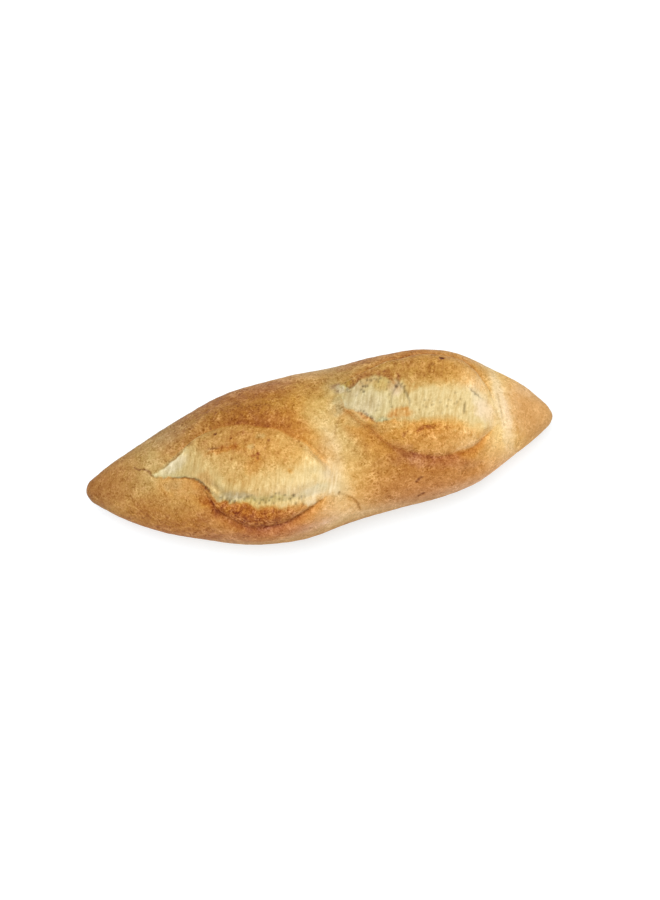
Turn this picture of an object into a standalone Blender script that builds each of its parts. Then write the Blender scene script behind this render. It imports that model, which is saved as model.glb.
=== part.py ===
"""A small baguette with two slanting cuts, as one closed solid of about 200 x 73 x 45 mm.

The loaf lies along X with its narrower, browner tip at -X, stands on its flat base at Z = 0, and has +Y as
its far side. A skin of elliptic cross-sections is swept from tip to tip. Each cut is then raised on it:
two lobes of dough that swelled out of the cut, a torn hollow between them, a crease where each lobe meets
the old skin, and the rolled lip of skin outside that crease.
"""

import math

import bpy
import numpy as np
from mathutils import Vector, noise

MM = 0.001

# --- Driving dimensions ---------------------------------------------------------------------------------
LENGTH = 200 * MM
BELLY_HEIGHT = 17.0 * MM  # the level of the widest line, at mid length
RIDGE_RISE = 25.0 * MM  # from the widest line up to the ridge
UNDER_DEPTH = 21.5 * MM  # from the widest line down; the floor cuts it off flat
TIP_HEIGHT = 12.5 * MM  # the level of both tips
TIP_RISE = 3.6 * MM
TIP_DEPTH = 4.4 * MM
LEFT_NOSE = 2.6 * MM  # the rounding of each tip
RIGHT_NOSE = 2.8 * MM
FULLNESS = 2.25  # 2 is an ellipse, more is squarer

# Half widths along the loaf, in mm, at these shares of its length from the left tip.
OUTLINE_AT = (0.0, 0.06, 0.14, 0.24, 0.34, 0.44, 0.54, 0.64, 0.74, 0.82, 0.90, 0.95, 1.0)
NEAR_SIDE = (4.8, 14.1, 23.2, 30.6, 35.7, 36.5, 32.8, 29.9, 27.9, 23.7, 15.3, 9.7, 2.9)
FAR_SIDE = (1.2, 8.2, 15.6, 23.6, 30.2, 32.2, 33.3, 35.0, 35.5, 31.6, 20.9, 13.5, 2.6)

# Each cut, in mm on the unrolled skin: its middle (along the loaf, across from the ridge), its slant and its
# half length; the four edges across the cut at nine even steps from its left end; the heights above the skin,
# from the far lip to the near lip, the near crease's at five even steps; and the share of the tear, from its
# far edge, at which its floor lies.
CUT_STEPS = np.linspace(-1, 1, 9)
CREASE_STEPS = np.linspace(-1, 1, 5)
LEFT_CUT = {
    "middle": (-34.0, -9.5),
    "slant": math.radians(-15.4),
    "half_length": 39.4,
    "far": (0.5, 9.5, 19.2, 23.0, 23.7, 22.9, 18.8, 12.2, 1.0),
    "tear_far": (0.4, 8.5, 9.0, -2.0, -3.0, -3.5, -1.0, 3.0, 0.5),
    "tear_near": (0.0, 0.3, -1.8, -6.9, -9.7, -11.0, -9.5, -6.9, -2.0),
    "near": (0.0, 0.3, -1.8, -13.8, -19.4, -21.5, -18.9, -10.6, -2.0),
    "far_lip": 1.2,
    "far_crease": -1.1,
    "far_lobe": 3.2,
    "tear_top": 0.8,
    "tear_floor": -1.7,
    "floor_at": 0.85,
    "near_lobe": 1.1,
    "near_crease": (0.0, -0.4, -1.2, -1.5, -1.0),
    "near_lip": 0.9,
}
RIGHT_CUT = {
    "middle": (43.0, 9.5),
    "slant": math.radians(-17.2),
    "half_length": 35.6,
    "far": (0.5, 7.0, 12.8, 17.5, 20.9, 22.1, 19.6, 11.3, -1.0),
    "tear_far": (0.3, 1.5, 5.8, 4.1, 1.8, 3.1, 4.9, 5.2, -1.5),
    "tear_near": (-3.5, -9.6, -13.9, -11.6, -10.9, -10.4, -9.4, -7.9, -4.5),
    "near": (-4.0, -10.2, -17.3, -22.1, -25.3, -26.0, -24.1, -19.2, -6.0),
    "far_lip": 0.2,
    "far_crease": -0.4,
    "far_lobe": 2.8,
    "tear_top": 1.7,
    "tear_floor": 0.2,
    "floor_at": 0.65,
    "near_lobe": 2.0,
    "near_crease": (-0.8, -1.2, -1.3, -1.3, -0.8),
    "near_lip": 1.0,
}
LIP_WIDTH = 4.0  # from a crease to the top of its lip, in mm
LIP_REACH = 13.0  # from a crease to where its lip has died out
FULL_LOBE = 9.0  # a lobe narrower than this is lower in proportion
END_TAPER = 0.22  # the share of a cut's half length over which its ends fade

LUMP_HEIGHT = 0.45 * MM  # the skin's own unevenness
LUMP_SIZE = 22 * MM
WANDER = 0.9  # how far the cut's edges stray from their curves, in mm
WANDER_SIZE = 9.0

# --- Mesh density: a fine skin, thinned so that its triangles end up where the creases are ---------------
RINGS = 250
NOSE_RINGS = 7
RING_POINTS = 150
TOP_CROWDING = 0.4  # how much closer the points lie on the top than underneath
TRIANGLES = 11600
OUTLINE_POINTS = 721  # on a ring, where the distance along the skin is measured


def smooth(x, at, values):
    """A smooth curve through the values, read at x."""
    at = np.asarray(at, float)
    values = np.asarray(values, float)
    slopes = np.gradient(values, at)
    i = np.clip(np.searchsorted(at, x, side="right") - 1, 0, len(at) - 2)
    span = at[i + 1] - at[i]
    t = np.clip((x - at[i]) / span, 0, 1)
    rise = t * t * (3 - 2 * t)
    start = t * (1 - t) ** 2 * span * slopes[i]
    end = t * t * (t - 1) * span * slopes[i + 1]
    return values[i] + (values[i + 1] - values[i]) * rise + start + end


def smoothstep(t):
    t = np.clip(t, 0, 1)
    return t * t * (3 - 2 * t)


def mix(a, b, share):
    return a + (b - a) * share


def nose(x):
    """1 along the loaf, falling as a quarter circle to 0 at each tip."""
    left = np.clip((x + LENGTH / 2) / LEFT_NOSE, 0, 1)
    right = np.clip((LENGTH / 2 - x) / RIGHT_NOSE, 0, 1)
    return np.sqrt(1 - (1 - left) ** 2) * np.sqrt(1 - (1 - right) ** 2)


def skin(x, turn):
    """(y, z) on the uncut loaf. turn is the angle about its axis, 0 on the ridge and positive to the far side."""
    share = x / LENGTH + 0.5
    t = np.abs(2 * x / LENGTH)
    rounding = nose(x)
    near = smooth(share, OUTLINE_AT, NEAR_SIDE) * MM
    far = smooth(share, OUTLINE_AT, FAR_SIDE) * MM
    belly = TIP_HEIGHT + (BELLY_HEIGHT - TIP_HEIGHT) * (1 - t**2)
    rise = (TIP_RISE + (RIDGE_RISE - TIP_RISE) * np.clip(1 - t**2.4, 0, 1) ** 0.9) * rounding
    depth = (TIP_DEPTH + (UNDER_DEPTH - TIP_DEPTH) * (1 - t**2.2)) * rounding
    across, up = np.sin(turn), np.cos(turn)
    reach = (np.abs(across) ** FULLNESS + np.abs(up) ** FULLNESS) ** (-1 / FULLNESS)
    y = (far - near) / 2 + (far + near) / 2 * rounding * reach * across
    z = belly + np.where(up > 0, rise, depth) * reach * up
    return y, np.maximum(z, 0)


def tip(x):
    """The outermost point of the loaf at one end, halfway between its sides there."""
    y, _ = skin(np.array([x]), np.zeros(1))
    return x, y[0], TIP_HEIGHT


def unrolled(x, turns):
    """How far each point of the ring at x lies from the ridge along the skin, in metres, for each of its turns."""
    fine = np.linspace(-math.pi, math.pi, OUTLINE_POINTS)
    y, z = skin(np.full_like(fine, x), fine)
    along = np.concatenate([[0], np.cumsum(np.hypot(np.diff(y), np.diff(z)))])
    return np.interp(turns, fine, along - along[len(fine) // 2])


def wander(points, size, shift):
    """Smooth noise from -1 to 1 at each point."""
    return np.array([noise.noise(Vector(p) / size + Vector(shift)) for p in points])


def cut_frame(along, across, cut):
    """Unrolled positions, in mm, as (distance along the cut, distance across it)."""
    dx, dy = along - cut["middle"][0], across - cut["middle"][1]
    cos, sin = math.cos(cut["slant"]), math.sin(cut["slant"])
    return dx * cos + dy * sin, dy * cos - dx * sin


def profile(v, knots):
    """The height at v across a cut. knots are (place, height, is a crease) from the far side to the near side.
    A crease is a sharp fold. The surface runs level over every other knot."""
    height = np.zeros_like(v)
    for (high, start, from_crease), (low, end, to_crease) in zip(knots, knots[1:]):
        t = np.clip((high - v) / np.maximum(high - low, 1e-6), 0, 1)
        if from_crease:
            ease = np.sin(t * math.pi / 2)
        elif to_crease:
            ease = 1 - np.cos(t * math.pi / 2)
        else:
            ease = smoothstep(t)
        inside = (v <= high) & (v > low)
        height = np.where(inside, start + (end - start) * ease, height)
    return height


def cut_relief(along, across, cut):
    """Height in mm that one cut adds to the skin at unrolled positions in mm."""
    u, v = cut_frame(along, across, cut)
    step = u / cut["half_length"]
    far, tear_far, tear_near, near = (
        smooth(np.clip(step, -1, 1), CUT_STEPS, cut[edge]) for edge in ("far", "tear_far", "tear_near", "near")
    )
    far_size = np.clip((far - tear_far) / FULL_LOBE, 0, 1)
    near_size = np.clip((tear_near - near) / FULL_LOBE, 0, 1)
    whole = np.clip((far - near) / (2 * FULL_LOBE), 0, 1)
    near_crease = smooth(np.clip(step, -1, 1), CREASE_STEPS, cut["near_crease"])
    knots = (
        (far + LIP_REACH, 0 * u, False),
        (far + LIP_WIDTH, cut["far_lip"] * whole, False),
        (far, cut["far_crease"] * whole, True),
        (far - 0.45 * (far - tear_far), cut["far_lobe"] * far_size, False),
        (tear_far, cut["tear_top"] * far_size, False),
        (mix(tear_far, tear_near, cut["floor_at"]), cut["tear_floor"] * whole, False),
        (tear_near - 0.4 * (tear_near - near), cut["near_lobe"] * near_size, False),
        (near, near_crease * whole, True),
        (near - LIP_WIDTH, cut["near_lip"] * whole, False),
        (near - LIP_REACH, 0 * u, False),
    )
    return profile(v, knots) * smoothstep((1 - np.abs(step)) / END_TAPER)


def ring_positions():
    """X of every ring, closer together over the rounded tips."""
    quarter = np.linspace(0, math.pi / 2, NOSE_RINGS + 1)[1:-1]
    left = -LENGTH / 2 + LEFT_NOSE * (1 - np.cos(quarter))
    right = LENGTH / 2 - RIGHT_NOSE * (1 - np.cos(quarter[::-1]))
    body = np.linspace(-LENGTH / 2 + LEFT_NOSE, LENGTH / 2 - RIGHT_NOSE, RINGS)
    return np.concatenate([left, body, right])


def ring_turns():
    """The turn of each point round a ring, crowded towards the ridge."""
    even = np.linspace(-math.pi, math.pi, RING_POINTS, endpoint=False)
    return even - TOP_CROWDING * np.sin(even)


def skin_mesh(rings, turns):
    """The uncut loaf as a mesh of quads between rings, closed by a fan at each tip."""
    points = []
    for x in rings:
        y, z = skin(np.full_like(turns, x), turns)
        points += zip(np.full_like(turns, x), y, z)
    count, last = len(turns), (len(rings) - 1) * len(turns)
    left, right = len(points), len(points) + 1
    points += [tip(-LENGTH / 2), tip(LENGTH / 2)]
    faces = []
    for row in range(0, last, count):
        for i in range(count):
            j = (i + 1) % count
            faces.append((row + i, row + count + i, row + count + j, row + j))
    for i in range(count):
        j = (i + 1) % count
        faces.append((left, i, j))
        faces.append((right, last + j, last + i))
    mesh = bpy.data.meshes.new("baguette")
    mesh.from_pydata([tuple(map(float, p)) for p in points], [], faces)
    mesh.update()
    return mesh


def raise_relief(mesh, rings, turns):
    """Moves each point of the skin along its normal by the height of the cuts and the skin's lumps, and centres
    the loaf."""
    size = len(mesh.vertices)
    points = np.empty(size * 3)
    normals = np.empty(size * 3)
    mesh.vertices.foreach_get("co", points)
    mesh.vertices.foreach_get("normal", normals)
    points, normals = points.reshape(-1, 3), normals.reshape(-1, 3)
    across = np.array([unrolled(x, turns) for x in rings]).ravel() / MM
    across = np.append(across, (0.0, 0.0))
    along = points[:, 0] / MM
    stray = WANDER * wander(points / MM, WANDER_SIZE, (3.1, 0, 0))
    height = LUMP_HEIGHT * wander(points, LUMP_SIZE, (0, 7.3, 0))
    for cut in (LEFT_CUT, RIGHT_CUT):
        height += cut_relief(along + stray, across + stray, cut) * MM
    height *= smoothstep(points[:, 2] / BELLY_HEIGHT)
    points += normals * height[:, None]
    low, high = points.min(0), points.max(0)
    points -= [(low[0] + high[0]) / 2, (low[1] + high[1]) / 2, 0]
    mesh.vertices.foreach_set("co", points.ravel())
    mesh.update()


def crust_material():
    """Matt golden-brown crust."""
    material = bpy.data.materials.new("crust")
    material.use_nodes = True
    shader = material.node_tree.nodes["Principled BSDF"]
    shader.inputs["Base Color"].default_value = (0.62, 0.34, 0.125, 1)
    shader.inputs["Roughness"].default_value = 0.7
    shader.inputs["Metallic"].default_value = 0
    return material


def thin(loaf):
    """Cuts the loaf down to TRIANGLES."""
    modifier = loaf.modifiers.new("thin", "DECIMATE")
    modifier.decimate_type = "COLLAPSE"
    modifier.use_collapse_triangulate = True
    modifier.ratio = TRIANGLES / sum(len(face.vertices) - 2 for face in loaf.data.polygons)


def main():
    for obj in list(bpy.data.objects):
        bpy.data.objects.remove(obj)
    rings, turns = ring_positions(), ring_turns()
    mesh = skin_mesh(rings, turns)
    raise_relief(mesh, rings, turns)
    mesh.shade_smooth()
    mesh.materials.append(crust_material())
    loaf = bpy.data.objects.new("baguette", mesh)
    bpy.context.scene.collection.objects.link(loaf)
    thin(loaf)


main()
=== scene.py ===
"""The looks of a small baguette: its crust, browned lobes, torn bands, pits and cracks, in soft studio light.

The loaf's form is worked out as its solid's is, on a much finer skin, and the fine relief is added to it.
Places on the skin are given unrolled, in mm: how far along the loaf, and how far across from its ridge,
which is positive on the far side. Bare lengths are in mm too.
"""

import math

import bpy
import numpy as np
from mathutils import Matrix, Vector, noise

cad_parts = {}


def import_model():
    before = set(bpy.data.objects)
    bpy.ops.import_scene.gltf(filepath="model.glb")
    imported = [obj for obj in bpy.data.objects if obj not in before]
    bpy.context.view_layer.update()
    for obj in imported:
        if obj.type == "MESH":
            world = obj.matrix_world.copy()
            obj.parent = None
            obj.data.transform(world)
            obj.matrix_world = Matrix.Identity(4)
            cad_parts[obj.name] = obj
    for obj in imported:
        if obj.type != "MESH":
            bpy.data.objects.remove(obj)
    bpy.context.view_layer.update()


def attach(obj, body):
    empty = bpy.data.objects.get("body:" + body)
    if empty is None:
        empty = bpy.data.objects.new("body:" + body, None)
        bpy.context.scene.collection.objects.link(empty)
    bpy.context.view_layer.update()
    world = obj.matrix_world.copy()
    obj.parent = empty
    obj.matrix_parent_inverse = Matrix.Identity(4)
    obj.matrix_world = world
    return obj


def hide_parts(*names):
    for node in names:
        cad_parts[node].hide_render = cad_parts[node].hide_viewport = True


MM = 0.001

# --- The form, as the solid has it ----------------------------------------------------------------------
LENGTH = 200 * MM
BELLY_HEIGHT = 17.0 * MM  # the level of the widest line, at mid length
RIDGE_RISE = 25.0 * MM  # from the widest line up to the ridge
UNDER_DEPTH = 21.5 * MM  # from the widest line down; the floor cuts it off flat
TIP_HEIGHT = 12.5 * MM  # the level of both tips
TIP_RISE = 3.6 * MM
TIP_DEPTH = 4.4 * MM
LEFT_NOSE = 2.6 * MM  # the rounding of each tip
RIGHT_NOSE = 2.8 * MM
FULLNESS = 2.25  # 2 is an ellipse, more is squarer
# How the rise and the depth fall off towards the tips, as powers of the distance from mid length.
RISE_POWER, RISE_EASE = 2.4, 0.9
DEPTH_POWER = 2.2

# Half widths along the loaf, at these shares of its length from the left tip.
OUTLINE_AT = (0.0, 0.06, 0.14, 0.24, 0.34, 0.44, 0.54, 0.64, 0.74, 0.82, 0.90, 0.95, 1.0)
NEAR_SIDE = (4.8, 14.1, 23.2, 30.6, 35.7, 36.5, 32.8, 29.9, 27.9, 23.7, 15.3, 9.7, 2.9)
FAR_SIDE = (1.2, 8.2, 15.6, 23.6, 30.2, 32.2, 33.3, 35.0, 35.5, 31.6, 20.9, 13.5, 2.6)

# Each cut: its middle (along the loaf, across from the ridge), its slant and its half length; the four edges
# across the cut at nine even steps from its left end; the heights above the skin, from the far lip to the
# near lip, the near crease's at five even steps; and the share of the tear, from its far edge, at which its
# floor lies.
CUT_STEPS = np.linspace(-1, 1, 9)
LEVEL_STEPS = np.linspace(-1, 1, 5)
LEFT_CUT = {
    "middle": (-34.0, -9.5),
    "slant": math.radians(-15.4),
    "half_length": 39.4,
    "far": (0.5, 9.5, 19.2, 23.0, 23.7, 22.9, 18.8, 12.2, 1.0),
    "tear_far": (0.4, 8.5, 9.0, -2.0, -3.0, -3.5, -1.0, 3.0, 0.5),
    "tear_near": (0.0, 0.3, -1.8, -6.9, -9.7, -11.0, -9.5, -6.9, -2.0),
    "near": (0.0, 0.3, -1.8, -13.8, -19.4, -21.5, -18.9, -10.6, -2.0),
    "far_lip": 1.2,
    "far_crease": -1.1,
    "far_lobe": 3.2,
    "tear_top": 0.8,
    "tear_floor": -1.7,
    "near_lobe": 1.1,
    "near_crease": (0.0, -0.4, -1.2, -1.5, -1.0),
    "near_lip": 0.9,
    "floor_at": 0.85,
}
RIGHT_CUT = {
    "middle": (43.0, 9.5),
    "slant": math.radians(-17.2),
    "half_length": 35.6,
    "far": (0.5, 7.0, 12.8, 17.5, 20.9, 22.1, 19.6, 11.3, -1.0),
    "tear_far": (0.3, 1.5, 5.8, 4.1, 1.8, 3.1, 4.9, 5.2, -1.5),
    "tear_near": (-3.5, -9.6, -13.9, -11.6, -10.9, -10.4, -9.4, -7.9, -4.5),
    "near": (-4.0, -10.2, -17.3, -22.1, -25.3, -26.0, -24.1, -19.2, -6.0),
    "far_lip": 0.2,
    "far_crease": -0.4,
    "far_lobe": 2.8,
    "tear_top": 1.7,
    "tear_floor": 0.2,
    "near_lobe": 2.0,
    "near_crease": (-0.8, -1.2, -1.3, -1.3, -0.8),
    "near_lip": 1.0,
    "floor_at": 0.65,
}
LIP_WIDTH = 4.0  # from a crease to the top of its lip
LIP_REACH = 13.0  # from a crease to where its lip has died out
FULL_LOBE = 9.0  # a lobe narrower than this is lower in proportion
FAR_TOP, NEAR_TOP = 0.45, 0.4  # how far into each lobe its top lies, as a share of its width
END_TAPER = 0.22  # the share of a cut's half length over which its ends fade

LUMP_HEIGHT, LUMP_SIZE = 0.45, 22.0  # the skin's own unevenness
WANDER, WANDER_SIZE = 0.9, 9.0  # how far the cuts' edges stray from their curves

# --- The skin's fineness --------------------------------------------------------------------------------
RINGS = 455
NOSE_RINGS = 10
RING_POINTS = 206
TOP_CROWDING = 0.6  # how much closer the points lie on the top than underneath
OUTLINE_POINTS = 721  # on a ring, where the distance along the skin is measured

# --- Colour: how far each place is baked, from 0, pale, to 1, dark brown, and how grey it is -------------
# The uncut skin, at these places along the loaf, on its far side, along its ridge and on its near side.
SKIN_AT = (-100, -85, -65, -40, -15, 4, 11, 20, 40, 60, 75, 84, 100)
FAR_BAKE = (0.74, 0.64, 0.72, 0.78, 0.70, 0.50, 0.56, 0.70, 0.62, 0.46, 0.22, 0.24, 0.24)
RIDGE_BAKE = (0.78, 0.66, 0.33, 0.50, 0.38, 0.22, 0.34, 0.46, 0.42, 0.20, 0.02, 0.28, 0.34)
NEAR_BAKE = (0.66, 0.66, 0.76, 0.66, 0.46, 0.20, 0.28, 0.48, 0.53, 0.50, 0.22, 0.28, 0.40)
FAR_GREY = (0.60, 0.75, 0.85, 0.45, 0.25, 0.50, 0.60, 0.40, 0.35, 0.30, 0.35, 0.10, 0.30)
RIDGE_GREY = (0.50, 0.45, 0.75, 0.30, 0.30, 0.50, 0.55, 0.50, 0.50, 0.45, 0.30, 0.00, 0.00)
NEAR_GREY = (0.40, 0.00, -0.05, -0.05, -0.10, 0.00, 0.00, -0.05, -0.15, -0.25, -0.20, -0.10, 0.00)
SIDE_FROM_RIDGE = 28.0  # from the ridge to where the levels of a side hold in full
# The low sides, which face away from the key light: painted light makes them paler, as if lit from the white
# floor, and painted sheen makes them greyer.
LOW_FROM, LOW_TO = 30.0, 46.0
NEAR_LOW_PAINTED_LIGHT, FAR_LOW_PAINTED_LIGHT = -0.11, -0.19
NEAR_LOW_PAINTED_SHEEN, FAR_LOW_PAINTED_SHEEN = 0.33, 0.3
# Underneath, which the photo doesn't show, the loaf is evenly baked.
UNDER_FROM, UNDER_TO = 36.0, 50.0
UNDER_BAKE, UNDER_GREY, UNDER_PINK = 0.52, 0.2, 0.3
# Painted sheen, as pink on the sides, for the whitish glance of the bright surroundings off them: across from
# the ridge, where it begins and where it is full, and how much there is, as (place along the loaf, amount).
NEAR_SHEEN_FROM, NEAR_SHEEN_TO = -12.0, -36.0
FAR_SHEEN_FROM, FAR_SHEEN_TO = 25.0, 40.0
NEAR_PAINTED_SHEEN = ((-100, 0.9), (-65, 0.4), (-45, 1.2), (-15, 1.4), (-5, 0.9), (5, 0.4), (15, 0.6), (25, 1.1),
             (40, 1.6), (100, 1.3))
FAR_PAINTED_SHEEN = ((-60, 0.3), (-30, 0.4), (-5, 0.6), (20, 0.5), (40, 0.65), (55, 0.7), (70, 0.6))
# Each cut's folds and lobes: their bake, then their grey, at five even steps along the cut.
CREASE_WIDTH = 1.3
LOBE_END, FOOT_AT = 0.3, 0.65  # of the far lobe's levels, between the far crease and the tear's near edge
LEVELS_END, LEVELS_TAPER = 1.05, 0.3  # where all of them run out, in half lengths of the cut
LEFT_LEVELS = {
    "far_lip": ((0.54, 0.70, 0.80, 0.62, 0.26), (0.60, 0.42, 0.15, 0.00, 0.20)),
    "far_crease": ((0.48, 0.62, 0.86, 0.60, 0.16), (0.60, 0.30, 0.05, -0.05, 0.20)),
    "far_lobe": ((0.34, 0.47, 0.55, 0.33, 0.12), (0.80, 0.50, 0.20, 0.15, 0.10)),
    "far_foot": ((0.26, 0.32, 0.33, 0.29, 0.14), (0.90, 0.60, 0.40, 0.42, 0.50)),
    "near_lobe": ((0.42, 0.60, 0.82, 0.68, 0.26), (0.30, 0.10, -0.30, -0.15, 0.30)),
    "near_crease": ((0.46, 0.58, 0.88, 0.86, 0.36), (0.20, 0.00, -0.15, -0.20, -0.10)),
    "near_lip": ((0.50, 0.48, 0.60, 0.58, 0.26), (0.10, 0.05, -0.10, -0.20, -0.10)),
}
RIGHT_LEVELS = {
    "far_lip": ((0.46, 0.62, 0.62, 0.45, 0.18), (0.75, 0.25, 0.12, 0.10, 0.30)),
    "far_crease": ((0.42, 0.68, 0.74, 0.56, 0.20), (0.75, 0.30, -0.05, -0.10, 0.10)),
    "far_lobe": ((0.36, 0.56, 0.56, 0.39, 0.12), (0.90, 0.50, 0.22, 0.10, 0.15)),
    "far_foot": ((0.30, 0.44, 0.44, 0.22, 0.07), (0.90, 0.75, 0.40, 0.20, 0.30)),
    "near_lobe": ((0.36, 0.42, 0.45, 0.34, 0.12), (0.45, 0.06, -0.05, -0.06, 0.12)),
    "near_crease": ((0.46, 0.66, 0.78, 0.78, 0.60), (0.30, 0.05, -0.05, -0.15, -0.10)),
    "near_lip": ((0.40, 0.54, 0.62, 0.62, 0.36), (0.40, 0.00, -0.10, -0.20, -0.10)),
}

# --- The torn, pale part of each cut, as (place along the loaf, value there) ----------------------------
# Its ragged far and near edges, across from the ridge; how soft each edge is; its bake and grey; where it
# ends and how softly; how strong its fibres are; and what a fringe along its near edge adds to both levels.
LEFT_TEAR = {
    "far": ((-72, 0.8), (-69.5, 1.4), (-66, 2.6), (-61, 5.2), (-58, 6.9), (-56, 8.1), (-53, 9.2), (-50, 6),
        (-47, 0), (-42, -6.5), (-34, -10), (-22, -10), (-12, -8), (-4, -8), (4, -12)),
    "near": ((-72, 1.6), (-70, 0), (-67, -0.9), (-62.5, -2.3), (-59, -2.5), (-54, -4.5), (-52.5, -6.4),
        (-50.2, -8.6), (-48.4, -10.8), (-47.2, -13), (-46.1, -15), (-44.2, -16.4), (-42, -17.4),
        (-38.9, -18.3), (-34.9, -19.3), (-32.8, -21.2), (-30.1, -23), (-23.5, -23.1), (-20.8, -24.1),
        (-14.2, -24.8), (-11.6, -24), (-9.5, -25.4), (-6.4, -25.4), (-4.4, -23.8), (-1.9, -23.4), (6, -25)),
    "far_soft": ((-70, 1.5), (-56, 1.6), (-53, 2.8), (-49, 7), (-40, 9), (4, 9)),
    "near_soft": ((-70, 0.8), (-48, 0.9), (-44, 2), (-8, 2.4), (0, 4), (6, 9)),
    "bake": ((-68, 0.25), (-60, 0.27), (-52, 0.31), (-44, 0.28), (-34, 0.26), (-24, 0.2), (-14, 0.1),
        (-4, 0.03), (4, 0.12)),
    "grey": ((-68, 0.95), (-60, 0.95), (-54, 0.75), (-48, 0.65), (-44, 0.75), (-34, 0.55), (-22, 0.48),
        (-12, 0.5), (4, 0.5)),
    "ends": (-71.6, 12),
    "end_soft": (1.8, 9),
    "fibre": ((-64, 0.25), (-50, 1)),
    "fringe_bake": 0.04,
    "fringe_grey": 0.1,
}
RIGHT_TEAR = {
    "far": ((9, 21.9), (11.6, 22), (13.5, 20.2), (15, 18.4), (16.1, 17.8), (17.5, 18.2), (18.6, 19.5),
        (20.2, 20.4), (22.9, 20.8), (26.4, 20.6), (29.6, 19.4), (31, 18.2), (32.6, 15.8), (33.6, 15.2),
        (34.6, 16), (35.6, 15.6), (38, 14.4), (41, 12.2), (47, 11.2), (56, 10.2), (64, 8.6), (72, 5)),
    "near": ((9, 20.2), (10.1, 17.8), (11.5, 15.4), (11.9, 12.8), (12.2, 10), (13.4, 8.6), (15.4, 7.6),
        (18.5, 6.2), (20.8, 3.9), (22.8, 1.1), (26, -0.8), (28.6, -0.6), (30.5, 0), (34, -1.4), (39, -2.2),
        (45, -2.8), (52, -3.6), (58, -5.2), (62, -7.4), (72, -10)),
    "far_soft": ((8, 2.4), (13, 1.6), (19, 1.4), (24, 2.4), (31, 3), (35, 2.4), (40, 4.5), (50, 5), (60, 6),
        (72, 7)),
    "near_soft": ((8, 3), (13, 1.8), (16, 1.4), (28, 1.3), (34, 3), (40, 4.5), (50, 5.5), (72, 7)),
    "bake": ((8, 0.24), (14, 0.25), (24, 0.22), (30, 0.2), (38, 0.2), (46, 0.16), (58, 0.14), (66, 0.1),
        (74, 0.03)),
    "grey": ((8, 0.8), (15, 1), (26, 0.96), (36, 0.8), (46, 0.72), (58, 0.62), (66, 0.66), (74, 0.5)),
    "ends": (9, 76),
    "end_soft": (3.4, 8),
    "fibre": ((8, 0.6), (34, 1)),
    "fringe_bake": 0.05,
    "fringe_grey": 0,
}
FRINGE = 2.4
RAGGED = ((1.1, 3.4), (0.7, 1.2))  # how far the edges stray, and over what size, coarsely and finely
# The rim of skin outside the near edge: its height, its width and where its middle lies, in widths inside
# that edge; and how far from the tear's left and right ends it is whole.
RIM_HEIGHT, RIM_WIDTH, RIM_AT = 0.35, 1.8, -0.6
RIM_ENDS = (8, 12)
# The pale rim inside the far edge, the same way; how much less baked it is; and how soft an edge can have it.
FAR_RIM_HEIGHT, FAR_RIM_WIDTH, FAR_RIM_AT = 0.22, 0.9, 0.5
FAR_RIM_BAKE = -0.16
FAR_RIM_SOFTEST = 2.6
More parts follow.
